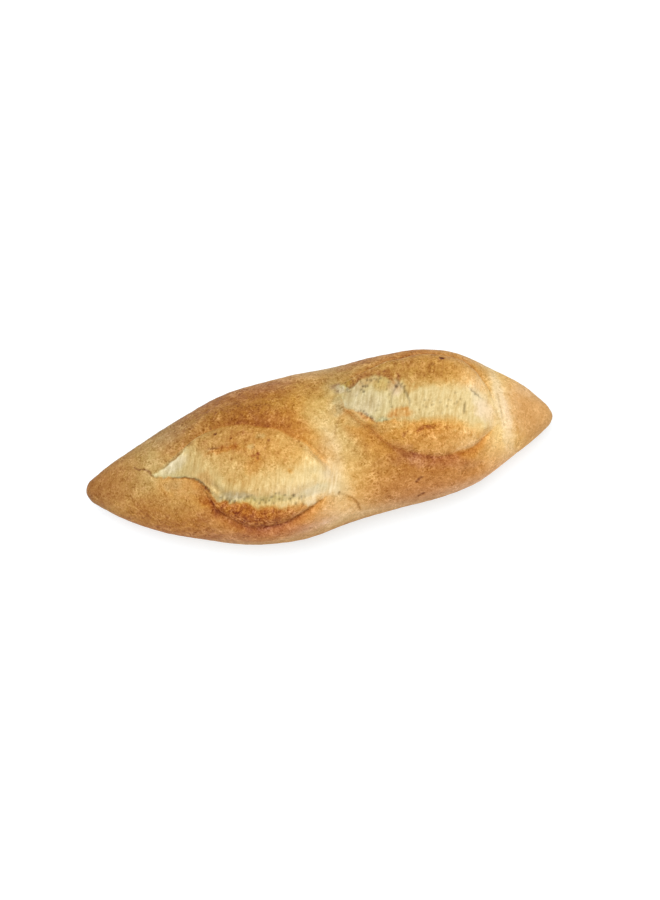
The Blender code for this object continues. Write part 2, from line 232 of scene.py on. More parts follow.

# --- Marks: cracks and pits, darkened with painted shade, and patches of colour -------------------------
# Each crack: its width, depth and darkness, the darkness being painted shade in its groove, and how much
# higher its near side stands, all at full strength; then its points from left to right, as (along, across,
# strength).
CRACKS = (
    (0.38, 0.45, 0.85, 0.25, ((-78.6, 6.2, 0), (-77.8, 5.9, 0.8), (-76.8, 4.8, 0.5), (-75.9, 4.2, 0.8),
     (-74.9, 4.7, 0.5), (-74, 4.5, 0.8), (-73, 4, 0.8), (-72.4, 3.1, 0.9), (-71.2, 1.2, 0.8),
     (-70.3, 0.4, 0.4), (-68.6, -0.6, 0.2), (-64.3, -1.8, 0.3), (-62, -2.4, 0.6), (-59.2, -2.5, 0.7),
     (-55.4, -3.8, 0.7), (-52.5, -5.4, 1), (-50.9, -7.3, 1), (-49.3, -9.6, 1), (-47.4, -12, 0.6),
     (-45.6, -13.8, 0))),
    (0.42, 0.3, 0.5, 0.25, ((-70, 2.4, 0), (-68, 2.4, 0.3), (-65.4, 3.1, 0.5), (-62.1, 4.8, 0.6),
     (-59.4, 6.4, 0.7), (-56.5, 8.2, 0.7), (-54.2, 9.6, 0.8), (-52.9, 10.4, 0.9), (-51.8, 9.2, 0.7),
     (-50.4, 10, 0))),
    (1.2, 0.2, 0, 0, ((-45, -14.4, 0.4), (-38.8, -16.2, 1), (-33.7, -16.8, 1), (-31.1, -18.8, 1),
     (-27.9, -20.4, 1), (-23.5, -19.3, 1), (-17.1, -21.6, 0.8), (-10.5, -20.5, 0))),
    (0.36, 0.35, 0.5, 0.3, ((-46.6, 5.4, 0), (-45.6, 5.5, 1), (-42.4, 5, 1), (-40.6, 4.7, 0))),
    (0.5, 0.25, 0.15, -0.2, ((-13, 5.8, 0), (-10.7, 3.2, 1), (-8.2, -0.6, 1), (-4.3, -5, 1),
     (-1.1, -9.5, 1), (1.2, -13.5, 0))),
    (0.45, 0.4, 0.45, 0.3, ((1.2, -25, 0), (4.5, -24.6, 0.8), (6, -26.2, 0.5), (8.6, -27.4, 0.8),
     (10.6, -30, 1), (11.6, -33, 1), (12.4, -38.6, 0))),
    (0.42, 0.25, 0.3, 0, ((6, -3, 0), (6.5, 1, 1), (8.5, 5, 0.8), (10.6, 8, 0))),
    (0.45, 0.2, 0.25, 0, ((-0.6, -19, 0), (-0.4, -14.4, 1), (0.6, -12, 0))),
    (0.45, 0.25, 0.28, 0.1, ((3, -12.2, 0), (6.4, -11.2, 1), (10.4, -9.8, 0))),
    (0.5, 0.35, 0.42, 0, ((8, 20.4, 0), (9.6, 22.2, 0.8), (11.6, 22.3, 0.6), (13.5, 20.3, 1), (15, 18.5, 1),
     (16.1, 17.9, 1), (17.5, 18.2, 1), (18.6, 19.2, 1), (20.2, 20.8, 0.7), (22.9, 21.2, 0.7),
     (26.4, 21, 0.7), (29.6, 19.8, 0.8), (31.2, 18.5, 0.6), (32.6, 16, 0.5), (33.6, 15.2, 0))),
    (0.5, 0.45, 0.62, 0, ((36.5, 18.6, 0), (36.2, 17.2, 0.6), (35.7, 14.8, 1), (36.8, 12.4, 0.8),
     (37.9, 10.9, 1), (38.8, 8.2, 0.8), (39.1, 6, 0.8), (38.9, 3.2, 0))),
    (0.42, 0.35, 0.45, 0, ((30.6, 4.8, 0), (31.4, 6.4, 0.7), (32, 8.8, 0.6), (32.6, 10.8, 0.8),
     (33.8, 12, 0.9), (34.8, 13.2, 1), (35.3, 14.4, 0))),
    (0.45, 0.35, 0.55, 0.4, ((63.6, 8.8, 0), (65, 7.4, 1), (67, 5.4, 1), (70.4, 2.2, 0))),
    (0.5, 0.3, 0.55, 0, ((60.8, -2.8, 0), (61.2, -1.4, 1), (62, 1.4, 1), (62.5, 3.2, 0))),
    (0.5, 0.2, 0.22, 0, ((73.6, 4.4, 0), (75, -2, 1), (76.1, -9, 0))),
    (0.42, 0.25, 0.28, 0.15, ((76.5, 8, 0), (76.9, 5.8, 1), (77, -1, 1), (77.1, -7.2, 0.6),
     (77.5, -10, 0))),
    (0.5, 0.35, 0.85, 0.1, ((35.6, -28.6, 0), (36.8, -28, 1), (39.4, -26.6, 1), (40.6, -26, 0))),
    (0.5, 0.3, 0.7, 0, ((36, -37, 0), (37.2, -36.6, 1), (39.4, -35.6, 1), (40.6, -35, 0))),
)
CRACK_WOBBLE, CRACK_WOBBLE_SIZE = 0.35, 1.6  # how far the cracks stray from their points
LIFT_REACH = 2.2  # how far from a crack the skin beside it stays raised
# Runs of pits where the crumb tore: (from, to, how many, how far they stray, radius, depth, darkness of the
# painted shade in them).
PIT_RUNS = (
    ((-45, -15), (-31, -18), 12, 1, 0.45, 0.3, 0.45),
    ((-31, -19.4), (-10, -22.4), 18, 1.3, 0.42, 0.3, 0.4),
    ((-30, -15), (-4, -17), 12, 2, 0.4, 0.2, 0.2),
    ((-66, 3.2), (-53, 9.8), 14, 0.4, 0.4, 0.25, 0.32),
    ((11, 20), (21, 19), 12, 0.9, 0.45, 0.3, 0.5),
    ((20, 20.4), (33, 17.4), 20, 1.6, 0.46, 0.3, 0.5),
    ((20, 14), (31, 9), 14, 3.4, 0.4, 0.2, 0.25),
    ((35, 17), (39, 8), 7, 0.4, 0.42, 0.3, 0.5),
    ((17.6, 7), (23, 1.6), 10, 0.6, 0.45, 0.3, 0.55),
    ((23, 0.4), (30, 0.6), 7, 0.5, 0.45, 0.3, 0.4),
    ((40, 6), (62, 2), 26, 3.2, 0.42, 0.25, 0.3),
    ((65, 7.6), (68.4, 4.6), 3, 0.3, 0.5, 0.35, 0.7),
)
# Single pits: (along, across, radius, darkness of the painted shade in them).
PITS = (
    (-44.2, -15.1, 0.5, 0.5), (-42, -16.2, 0.6, 0.6), (-41, -17.1, 0.5, 0.7), (-39, -17.9, 0.6, 0.7),
    (-33.5, -17.1, 0.6, 0.55), (-30.8, -19, 0.5, 0.45), (-29, -20.9, 0.6, 0.6), (-26.4, -21, 0.55, 0.5),
    (-24.8, -20.4, 0.5, 0.55), (-23.6, -19, 0.5, 0.65), (-21.6, -17.9, 0.45, 0.5),
    (-20.2, -18.1, 0.45, 0.5), (-20.6, -21, 0.5, 0.6), (-18, -19.4, 0.5, 0.5), (-16, -21.9, 0.55, 0.7),
    (-14.4, -20.4, 0.7, 0.7), (-11.2, -22, 0.5, 0.55), (-9.8, -22.1, 0.45, 0.45), (-14, -23.9, 0.5, 0.5),
    (-11.1, -24.6, 0.5, 0.5), (4.4, -24.6, 0.7, 0.5), (-42.1, 11.6, 0.6, 0.85), (-44.1, 15.8, 0.5, 0.45),
    (-35.9, 7.9, 0.5, 0.4), (-37.1, -0.6, 0.55, 0.2), (-20.9, 4.1, 0.5, 0.45), (-27.5, 2.1, 0.45, 0.25),
    (-22.8, 1, 0.45, 0.25), (-26.4, -2.6, 0.5, 0.45), (-8.8, 1.5, 0.55, 0.5), (-8.2, -1.1, 0.5, 0.5),
    (14.5, 17.6, 0.5, 0.6), (21.2, 17, 0.6, 0.85), (22.2, 16.6, 0.5, 0.7), (21, 14.6, 0.55, 0.8),
    (20.2, 15.6, 0.4, 0.6), (34.7, 13.3, 0.8, 0.8), (31.4, 5.2, 0.5, 0.4), (30.8, 7.4, 0.4, 0.35),
    (19.6, 6.1, 0.45, 0.6), (21, 4, 0.5, 0.6), (22.4, 2.1, 0.5, 0.6), (55.4, 22.8, 0.9, 0.9),
    (51.1, 20, 0.7, 0.4),
)
PIT_DEPTH = 0.4
PIT_SEED = 7
# Between these, the pits of a run differ in size and in how stretched across the loaf they are.
PIT_SIZES, PIT_STRETCHES = (0.6, 1.25), (0.75, 1.3)
# Outside the tears, how much of a mark's painted shade goes into bake, as browning, and how much of the shade
# fades for that.
MARK_BAKE, MARK_FADE = 0.45, 0.45
# Soft patches: (along, across, half length, half width, slant in degrees, and how much more baked, grey and
# pink they are).
PATCHES = (
    (-36, -17, 9, 1.9, -14, -0.03, 0.2, 0), (-21, -19.8, 9, 1.7, -8, 0, 0.22, 0),
    (-49.6, -15, 6, 1.7, -58, 0.2, -0.25, 0), (-58, -7, 8, 3.6, -18, -0.06, 0.15, 0.2),
    (45, -20, 18, 3.2, -12, 0.03, 0.1, 0.8), (5, 20, 60, 9, 0, 0, 0, -0.2),
    (91, 0, 11, 16, 0, 0, 0.05, 0.65), (52, -12.5, 17, 5, -8, 0, 0, 0.35),
    (60, -38, 14, 7, 0, -0.12, 0.1, 0), (-18, -37, 20, 4, 0, 0, 0, 0.35), (22, -42, 11, 6, 0, -0.1, 0, 0),
    (-58, -26, 9, 9, 0, -0.08, 0, 0), (61, 31, 10, 4, 0, -0.1, 0.1, 0.2), (92, 10, 6, 6, 0, -0.05, 0.1, 0),
    (3, 24, 7, 5, 0, 0.07, -0.05, 0), (69, 4, 4, 9, 10, -0.07, 0.05, 0.2),
    (66, 12, 6, 5, 0, -0.08, 0, 0.2), (-2, -40, 12, 6, 0, 0.03, 0, 0), (68, 20, 10, 6, -20, 0, 0, 0.2),
    (-72, -11, 9, 5, 10, 0.08, -0.1, 0), (-40, 3.8, 6.5, 0.9, 2, 0.13, -0.3, 0),
    (-33.6, 3, 3.4, 0.7, -24, 0.06, -0.15, 0), (-35.6, 6.8, 1.6, 2.2, 0, 0.05, -0.1, 0),
    (-27.4, -1.1, 2.6, 0.45, -6, 0.3, -0.2, 0), (-26.6, -2.6, 0.9, 1.2, 0, 0.06, -0.2, 0),
    (-29, -5.4, 4, 3, 20, 0.1, -0.2, 0), (-28.6, 2.4, 1.8, 1.2, 20, -0.16, 0.3, 0),
    (-23.6, 6.8, 2, 1.4, 0, -0.06, 0.3, 0), (-21.2, 3.6, 1.8, 1.2, 40, 0.07, 0, 0),
    (-33, 10, 4, 1.6, -10, 0.1, 0, 0), (-14, -9.9, 1.4, 1.1, 0, 0.16, -0.3, 0),
    (-16, 4, 3.4, 2.4, -40, -0.06, 0, 0), (-5, -1, 5, 4, -50, -0.1, 0, 0),
    (16.4, 20.4, 2.2, 1.6, -10, 0.1, 0, -0.5), (36.1, 17, 0.8, 2.4, 8, 0.2, -0.1, 0),
    (34.4, 1.7, 5.2, 2.1, -6, 0.12, -0.55, 0.2), (31.2, 1.6, 1.6, 0.8, -30, 0.14, -0.2, 0.1),
    (33, 3.4, 1.4, 0.7, 60, 0.14, -0.2, 0.1), (36, 2.6, 1.8, 0.8, -12, 0.12, -0.2, 0.1),
    (37.2, 0.6, 1.5, 0.8, 20, 0.12, -0.2, 0.1), (16, 3, 5, 3, -22, -0.12, 0.25, 0),
    # The patch at 25.5 along is painted shadow: greyer and a little browner where a deep shadow lies beside
    # the right tear.
    (25.5, -0.4, 3.4, 1.6, 0, 0.02, 0.14, 0), (10, 12, 2.2, 5, 0, 0, 0.3, 0),
    (23, 20, 6, 3.4, 0, 0.14, -0.25, 0.3), (17, 16.4, 3.4, 3, 0, 0.1, 0, 0.2),
    (31.5, 19, 2.6, 2, -30, 0.12, -0.1, 0), (34, 13, 3, 3.6, 0, 0.03, -0.1, 0.55),
    (33, -3.4, 4, 1.6, 0, -0.11, 0.18, 0), (8, 22, 3.6, 5, 0, -0.06, 0.2, 0.1),
    (-24, -22, 15, 4, -8, 0, 0.1, -0.6), (-27, -34.6, 17, 2.6, -5, 0.02, 0.05, 0.6),
    (70, -2, 5.5, 3.6, -52, -0.02, -0.1, 0.25), (69, -10.4, 5, 1.6, 40, 0.02, -0.2, 0.2),
    (60.5, -8, 6, 2.4, -5, -0.07, 0, 0), (-7.6, -23.4, 3, 1.6, 0, 0.06, 0.12, 0),
    (34, -14, 7, 2.6, -35, 0.04, 0.1, 0.5), (-5.5, -20.5, 6, 2, 0, 0, 0.35, 0),
    (3, -9, 4.6, 11, 0, 0, 0, 0.28), (-50, -6, 4, 3.4, 0, 0.04, -0.2, 0.1),
    (-50, -12.4, 4.6, 1.8, -40, -0.06, 0.22, 0.2), (-50.6, -21.6, 5, 3.6, 0, 0.14, 0, 0.15),
    (-63, -5, 4, 2.6, 0, 0, 0.22, 0), (-61, 17, 7, 4.4, 20, 0, 0, 0.3),
    (-27, 20, 20, 5, 0, 0, 0.05, -0.35), (28.5, 15, 4.4, 2.6, -15, 0.15, -0.15, -0.1),
    (19, 11, 9, 7, -10, 0, 0, 0.3), (34.8, 13.4, 1.3, 1.5, 0, 0.12, -0.15, 0.2),
    (20.6, 3.4, 4.2, 0.9, -46, 0.03, -0.1, 0.5), (55.4, 22.8, 1.7, 1.1, 0, 0.2, 0, 0),
    (11, 20, 4, 1.8, -35, 0.04, 0.15, 0.6), (77.6, -1, 2.8, 19, 4, -0.12, 0.1, 0.25),
    (-61, 3, 6, 2.6, 25, -0.04, 0.1, 0.3), (-38, -15.2, 7, 1.5, -14, 0, 0.2, 0.2),
    (43.6, -6.2, 4.6, 1, 4, 0.3, -0.1, 0), (40.6, -7.4, 1.5, 0.9, 60, 0.14, -0.1, 0),
    (46.4, -8, 5, 1.6, -4, 0.08, -0.1, 0), (53.4, -7.3, 3.6, 0.6, -5, 0.18, 0, 0),
    (34.1, -7.3, 1.1, 0.9, 20, 0.24, 0.1, 0), (40, 11.4, 3, 1.8, -30, 0.14, -0.2, 0),
    (51.5, 17, 6, 4, -20, 0.06, 0, 0), (21.4, 24.4, 5, 2, 15, 0.08, -0.1, 0),
    (-87, -11, 6, 4, 0, -0.07, 0, 0), (-12.6, -10, 4.5, 4, 0, 0.06, -0.06, 0),
    (4, -24, 5, 4, 0, -0.03, 0.1, 0), (50, -26, 8, 4, 0, -0.05, 0, 0),
    (24.6, -11, 5, 4, 0, -0.05, 0.05, 0), (61, -17, 6, 4, 0, -0.05, 0, 0),
    (-63.6, 28, 6, 4, 0, -0.05, 0.1, 0), (-15.8, 32, 8, 4, 0, 0, 0.1, 0.4),
    (72, 25, 9, 4, 0, -0.02, 0.1, 0.35), (9.4, 12, 4, 4, 0, 0, 0.15, 0.15),
    (-2.2, -3.6, 4.5, 4, 0, 0, 0.15, 0), (26, -2.2, 4, 3, 0, 0, 0.2, 0), (-47, 6, 4, 4, 0, 0.07, 0, 0),
    (-65, 11.5, 4, 4, 0, 0.03, -0.1, 0), (-8.2, 17.6, 4.5, 4.5, 0, 0.03, -0.15, 0),
    (22.6, 38.9, 5, 3, 0, 0.06, 0, 0), (-58.8, -9.5, 4, 4, 0, 0.05, 0, 0),
)
PATCH_EDGE = 0.5

# --- Fine relief of the crust ---------------------------------------------------------------------------
BLISTERS = ((0.12, 3.1), (0.07, 1.5))  # height and size
# Fibres run across the tears and, fainter, across what else lies inside a cut.
FIBRE_WIDTH, FIBRE_LENGTH = 1.0, 5.0
FIBRE_GAIN = 2.2  # steepens the noise, so that the fibres have clear edges
FIBRE_HEIGHT, FIBRE_BAKE = 0.07, 0.05
INSIDE_FIBRE = 0.7
# A cut's inside runs from its far crease to its near lobe, and ends at this share of the way from the near
# crease to the tear; its two edges are this soft.
INSIDE_END = 0.3
INSIDE_FAR_EDGE, INSIDE_NEAR_EDGE = 3, 5
LOBE_EDGE, LOBE_PAST_CREASE = 3, 1  # how soft the near lobe's edges are, and how far past its crease it runs
# How much coarser the crust's grain is on the near lobes, inside the cuts and in the tears, and how coarse it
# is on the tips, beyond SMOOTH_TIP along the loaf.
COARSE_LOBE, COARSE_INSIDE, COARSE_TEAR = 0.6, 0.3, -0.3
SMOOTH_TIP, COARSE_TIP = 84.0, 0.75

CUTS = ((LEFT_CUT, LEFT_LEVELS, LEFT_TEAR), (RIGHT_CUT, RIGHT_LEVELS, RIGHT_TEAR))


def smooth(x, at, values):
    """A smooth curve through the values, read at x."""
    at = np.asarray(at, float)
    values = np.asarray(values, float)
    slopes = np.gradient(values, at)
    i = np.clip(np.searchsorted(at, x, side="right") - 1, 0, len(at) - 2)
    span = at[i + 1] - at[i]
    t = np.clip((x - at[i]) / span, 0, 1)
    rise = t * t * (3 - 2 * t)
    start = t * (1 - t) ** 2 * span * slopes[i]
    end = t * t * (t - 1) * span * slopes[i + 1]
    return values[i] + (values[i + 1] - values[i]) * rise + start + end


def smoothstep(t):
    t = np.clip(t, 0, 1)
    return t * t * (3 - 2 * t)


def mix(a, b, share):
    return a + (b - a) * share


def nose(x):
    """1 along the loaf, falling as a quarter circle to 0 at each tip."""
    left = np.clip((x + LENGTH / 2) / LEFT_NOSE, 0, 1)
    right = np.clip((LENGTH / 2 - x) / RIGHT_NOSE, 0, 1)
    return np.sqrt(1 - (1 - left) ** 2) * np.sqrt(1 - (1 - right) ** 2)


def skin(x, turn):
    """(y, z) on the uncut loaf. turn is the angle about its axis, from the ridge to the far side."""
    share = x / LENGTH + 0.5
    t = np.abs(2 * x / LENGTH)
    rounding = nose(x)
    near = smooth(share, OUTLINE_AT, NEAR_SIDE) * MM
    far = smooth(share, OUTLINE_AT, FAR_SIDE) * MM
    belly = TIP_HEIGHT + (BELLY_HEIGHT - TIP_HEIGHT) * (1 - t**2)
    rise = (TIP_RISE + (RIDGE_RISE - TIP_RISE) * np.clip(1 - t**RISE_POWER, 0, 1) ** RISE_EASE) * rounding
    depth = (TIP_DEPTH + (UNDER_DEPTH - TIP_DEPTH) * (1 - t**DEPTH_POWER)) * rounding
    across, up = np.sin(turn), np.cos(turn)
    reach = (np.abs(across) ** FULLNESS + np.abs(up) ** FULLNESS) ** (-1 / FULLNESS)
    y = (far - near) / 2 + (far + near) / 2 * rounding * reach * across
    z = belly + np.where(up > 0, rise, depth) * reach * up
    return y, np.maximum(z, 0)


def tip(x):
    """The outermost point of the loaf at one end, halfway between its sides there."""
    y, _ = skin(np.array([x]), np.zeros(1))
    return x, y[0], TIP_HEIGHT


def unrolled(x, turns):
    """How far each turn of the ring at x lies from the ridge along the skin, in metres."""
    fine = np.linspace(-math.pi, math.pi, OUTLINE_POINTS)
    y, z = skin(np.full_like(fine, x), fine)
    along = np.concatenate([[0], np.cumsum(np.hypot(np.diff(y), np.diff(z)))])
    return np.interp(turns, fine, along - along[len(fine) // 2])


def wander(points, size, shift):
    """Smooth noise from -1 to 1 at each point. Its shift keeps it apart from the other noises."""
    return np.array([noise.noise(Vector(p) / size + Vector(shift)) for p in points])


def cut_frame(along, across, cut):
    """Unrolled positions, in mm, as (distance along the cut, distance across it)."""
    dx, dy = along - cut["middle"][0], across - cut["middle"][1]
    cos, sin = math.cos(cut["slant"]), math.sin(cut["slant"])
    return dx * cos + dy * sin, dy * cos - dx * sin


def profile(v, knots):
    """The value at v across a cut. knots are (place, value, is a crease) from the far side to the near side:
    a crease is a sharp fold, and the surface runs level over every other knot."""
    height = np.where(v > knots[0][0], knots[0][1], knots[-1][1])
    for (high, start, from_crease), (low, end, to_crease) in zip(knots, knots[1:]):
        t = np.clip((high - v) / np.maximum(high - low, 1e-6), 0, 1)
        if from_crease:
            ease = np.sin(t * math.pi / 2)
        elif to_crease:
            ease = 1 - np.cos(t * math.pi / 2)
        else:
            ease = smoothstep(t)
        inside = (v <= high) & (v > low)
        height = np.where(inside, start + (end - start) * ease, height)
    return height


def edges(step, cut):
    """The four edges of a cut, across it, at a share of its half length."""
    names = ("far", "tear_far", "tear_near", "near")
    return [smooth(np.clip(step, -1, 1), CUT_STEPS, cut[name]) for name in names]


def cut_relief(along, across, cut):
    """Height in mm that one cut adds to the skin at unrolled positions in mm."""
    u, v = cut_frame(along, across, cut)
    step = u / cut["half_length"]
    far, tear_far, tear_near, near = edges(step, cut)
    far_size = np.clip((far - tear_far) / FULL_LOBE, 0, 1)
    near_size = np.clip((tear_near - near) / FULL_LOBE, 0, 1)
    whole = np.clip((far - near) / (2 * FULL_LOBE), 0, 1)
    near_crease = smooth(np.clip(step, -1, 1), LEVEL_STEPS, cut["near_crease"])
    knots = (
        (far + LIP_REACH, 0 * u, False),
        (far + LIP_WIDTH, cut["far_lip"] * whole, False),
        (far, cut["far_crease"] * whole, True),
        (far - FAR_TOP * (far - tear_far), cut["far_lobe"] * far_size, False),
        (tear_far, cut["tear_top"] * far_size, False),
        (mix(tear_far, tear_near, cut["floor_at"]), cut["tear_floor"] * whole, False),
        (tear_near - NEAR_TOP * (tear_near - near), cut["near_lobe"] * near_size, False),
        (near, near_crease * whole, True),
        (near - LIP_WIDTH, cut["near_lip"] * whole, False),
        (near - LIP_REACH, 0 * u, False),
    )
    return profile(v, knots) * smoothstep((1 - np.abs(step)) / END_TAPER)


def cut_levels(along, across, cut, levels, around):
    """Bake and grey in and round one cut, run into those of the skin about it."""
    u, v = cut_frame(along, across, cut)
    step = u / cut["half_length"]
    far, _, tear_near, near = edges(step, cut)
    beyond = np.maximum(v - far, near - v) - LIP_WIDTH
    share = 1 - smoothstep(beyond / (LIP_REACH - LIP_WIDTH))
    share = share * smoothstep((LEVELS_END - np.abs(step)) / LEVELS_TAPER)
    result = []
    for kind, skin_level in enumerate(around):
        level = {name: smooth(np.clip(step, -1, 1), LEVEL_STEPS, levels[name][kind]) for name in levels}
        knots = (
            (far + LIP_WIDTH, level["far_lip"], False),
            (far, level["far_crease"], True),
            (far - CREASE_WIDTH, level["far_lobe"], False),
            (mix(far, tear_near, LOBE_END), level["far_lobe"], False),
            (mix(far, tear_near, FOOT_AT), level["far_foot"], False),
            (tear_near, level["near_lobe"], False),
            (np.minimum(near + CREASE_WIDTH, tear_near), level["near_lobe"], False),
            (near, level["near_crease"], True),
            (near - LIP_WIDTH, level["near_lip"], False),
        )
        result.append(mix(skin_level, profile(v, knots), share))
    return result


def read(pairs, x):
    """The line through (place, value) pairs, read at x and level beyond its ends."""
    return np.interp(x, *zip(*pairs))


def torn(along, across, tear, ragged):
    """How torn and pale each place is, from 0 to 1, and how far it lies inside the near and far edges."""
    from_far = read(tear["far"], along) + ragged - across
    from_near = across - read(tear["near"], along) + ragged
    far_side = smoothstep(0.5 + from_far / read(tear["far_soft"], along))
    near_side = smoothstep(0.5 + from_near / read(tear["near_soft"], along))
    (left, right), (left_soft, right_soft) = tear["ends"], tear["end_soft"]
    ends = smoothstep((along - left) / left_soft) * smoothstep((right - along) / right_soft)
    return far_side * near_side * ends, from_near, from_far


def crack_marks(along, across, width, depth, darkness, lift, points):
    """Height in mm and darkness, from 0 to 1, of one crack: the darkness is painted shade in its groove."""
    nearest, strength = np.full(len(along), np.inf), np.zeros(len(along))
    for (x0, s0, from_strength), (x1, s1, to_strength) in zip(points, points[1:]):
        dx, ds = x1 - x0, s1 - s0
        t = np.clip(((along - x0) * dx + (across - s0) * ds) / (dx**2 + ds**2), 0, 1)
        distance = np.hypot(along - x0 - t * dx, across - s0 - t * ds)
        strength = np.where(distance < nearest, mix(from_strength, to_strength, t), strength)
        nearest = np.minimum(nearest, distance)
    line_x, line_s, _ = zip(*points)
    near_side = across < np.interp(along, line_x, line_s)
    groove = np.exp(-((nearest / width) ** 2)) * strength
    lip = np.where(near_side, np.exp(-nearest / LIFT_REACH), 0) * strength * lift
    return lip - depth * groove, darkness * groove


def pit_bowl(distance, radius):
    """1 over the bottom of a pit, falling to 0 just past its radius."""
    return 1 - smoothstep(distance / radius - 0.5)


def pit_marks(along, across):
    """Height in mm and darkness of every pit: the darkness is painted shade in the pits."""
    height, painted_shade = np.zeros(len(along)), np.zeros(len(along))
    random = np.random.default_rng(PIT_SEED)
    for start, end, count, stray, radius, depth, darkness in PIT_RUNS:
        for share in (np.arange(count) + 0.5) / count:
            x, s = mix(np.array(start, float), np.array(end, float), share) + random.normal(0, stray, 2)
            size = random.uniform(*PIT_SIZES)
            stretch = random.uniform(*PIT_STRETCHES)
            distance = np.hypot((along - x) * stretch, (across - s) / stretch)
            bowl = pit_bowl(distance, radius * size)
            height -= depth * size * bowl
            painted_shade = np.maximum(painted_shade, darkness * size * bowl)
    for x, s, radius, darkness in PITS:
        bowl = pit_bowl(np.hypot(along - x, across - s), radius)
        height -= PIT_DEPTH * bowl
        painted_shade = np.maximum(painted_shade, darkness * bowl)
    return height, painted_shade


def patch_share(dx, ds, half_length, half_width, degrees):
    """1 in a soft patch, falling to 0 over its edge, at distances along and across from its middle."""
    slant = math.radians(degrees)
    u = dx * math.cos(slant) + ds * math.sin(slant)
    v = ds * math.cos(slant) - dx * math.sin(slant)
    distance = np.hypot(u / half_length, v / half_width)
    return smoothstep((1 + PATCH_EDGE - distance) / (2 * PATCH_EDGE))


def skin_levels(along, across, far, ridge, near):
    """Bake or grey of the uncut skin, from its levels on the far side, the ridge and the near side."""
    x = np.clip(along, SKIN_AT[0], SKIN_AT[-1])
    side = np.where(across > 0, smooth(x, SKIN_AT, far), smooth(x, SKIN_AT, near))
    return mix(smooth(x, SKIN_AT, ridge), side, smoothstep(np.abs(across) / SIDE_FROM_RIDGE))


def ring_positions():
    """X of every ring, closer together over the rounded tips."""
    quarter = np.linspace(0, math.pi / 2, NOSE_RINGS + 1)[1:-1]
    left = -LENGTH / 2 + LEFT_NOSE * (1 - np.cos(quarter))
    right = LENGTH / 2 - RIGHT_NOSE * (1 - np.cos(quarter[::-1]))
    body = np.linspace(-LENGTH / 2 + LEFT_NOSE, LENGTH / 2 - RIGHT_NOSE, RINGS)
    return np.concatenate([left, body, right])


def ring_turns():
    """The turn of each point round a ring, crowded towards the ridge."""
    even = np.linspace(-math.pi, math.pi, RING_POINTS, endpoint=False)
    return even - TOP_CROWDING * np.sin(even)


def skin_mesh(rings, turns):
    """The uncut loaf as a mesh of quads between rings, closed by a fan at each tip."""
    points = []
    for x in rings:
        y, z = skin(np.full_like(turns, x), turns)
        points += zip(np.full_like(turns, x), y, z)
    count, last = len(turns), (len(rings) - 1) * len(turns)
    left, right = len(points), len(points) + 1
    points += [tip(-LENGTH / 2), tip(LENGTH / 2)]
    faces = []
    for row in range(0, last, count):
        for i in range(count):
            j = (i + 1) % count
            faces.append((row + i, row + count + i, row + count + j, row + j))
    for i in range(count):
        j = (i + 1) % count
        faces.append((left, i, j))
        faces.append((right, last + j, last + i))
    mesh = bpy.data.meshes.new("crust")
    mesh.from_pydata([tuple(map(float, p)) for p in points], [], faces)
    mesh.update()
    return mesh


def placed(name, data):
    """An object with this data, put into the scene."""
    piece = bpy.data.objects.new(name, data)
    bpy.context.scene.collection.objects.link(piece)
    return piece


def set_attribute(mesh, name, values):
    attribute = mesh.attributes.new(name, "FLOAT", "POINT")
    attribute.data.foreach_set("value", np.asarray(values, np.float32))


def set_places(mesh, name, places):
    attribute = mesh.attributes.new(name, "FLOAT_VECTOR", "POINT")
    attribute.data.foreach_set("vector", np.asarray(places, np.float32).ravel())


def uncut_colour(along, across):
    """Bake, grey and pink of the uncut skin, with painted light and sheen on its sides, and how far
    underneath each place lies, from 0 to 1.
    """
    bake = skin_levels(along, across, FAR_BAKE, RIDGE_BAKE, NEAR_BAKE)
    grey = skin_levels(along, across, FAR_GREY, RIDGE_GREY, NEAR_GREY)
    low = smoothstep((np.abs(across) - LOW_FROM) / (LOW_TO - LOW_FROM))
    # Painted light, paler, and painted sheen, greyer, on the low sides.
    bake += np.where(across < 0, NEAR_LOW_PAINTED_LIGHT, FAR_LOW_PAINTED_LIGHT) * low
    grey += np.where(across < 0, NEAR_LOW_PAINTED_SHEEN, FAR_LOW_PAINTED_SHEEN) * low
    # Pink on the sides is painted sheen.
    near_sheen = smoothstep((across - NEAR_SHEEN_FROM) / (NEAR_SHEEN_TO - NEAR_SHEEN_FROM))
    far_sheen = smoothstep((across - FAR_SHEEN_FROM) / (FAR_SHEEN_TO - FAR_SHEEN_FROM))
    pink_and_sheen = read(NEAR_PAINTED_SHEEN, along) * near_sheen + read(FAR_PAINTED_SHEEN, along) * far_sheen
    under = smoothstep((np.abs(across) - UNDER_FROM) / (UNDER_TO - UNDER_FROM))
    bake, grey = mix(bake, UNDER_BAKE, under), mix(grey, UNDER_GREY, under)
    return bake, grey, mix(pink_and_sheen, UNDER_PINK, under), under


def rims(along, tear, from_near, from_far, share):
    """How strongly the rim outside a tear's near edge stands, and the one inside its far edge."""
    (left, right), (left_end, right_end) = tear["ends"], RIM_ENDS
    near = np.exp(-((from_near / RIM_WIDTH - RIM_AT) ** 2)) / read(tear["near_soft"], along)
    near = near * smoothstep((along - left) / left_end) * smoothstep((right - along) / right_end)
    far = share * np.exp(-((from_far / FAR_RIM_WIDTH - FAR_RIM_AT) ** 2))
    return near, far * smoothstep(FAR_RIM_SOFTEST - read(tear["far_soft"], along))


def insides(u, v, cut):
    """How much of each place lies inside a cut and on its near lobe, from 0 to 1."""
    step = u / cut["half_length"]
    far, _, tear_near, near = edges(step, cut)
    end = mix(near, tear_near, INSIDE_END)
    inside = smoothstep((far - v) / INSIDE_FAR_EDGE) * smoothstep((v - end) / INSIDE_NEAR_EDGE)
    lobe = smoothstep((tear_near - v) / LOBE_EDGE) * smoothstep((v - near + LOBE_PAST_CREASE) / LOBE_EDGE)
    return inside * (np.abs(step) < 1), lobe * (np.abs(step) < 1)


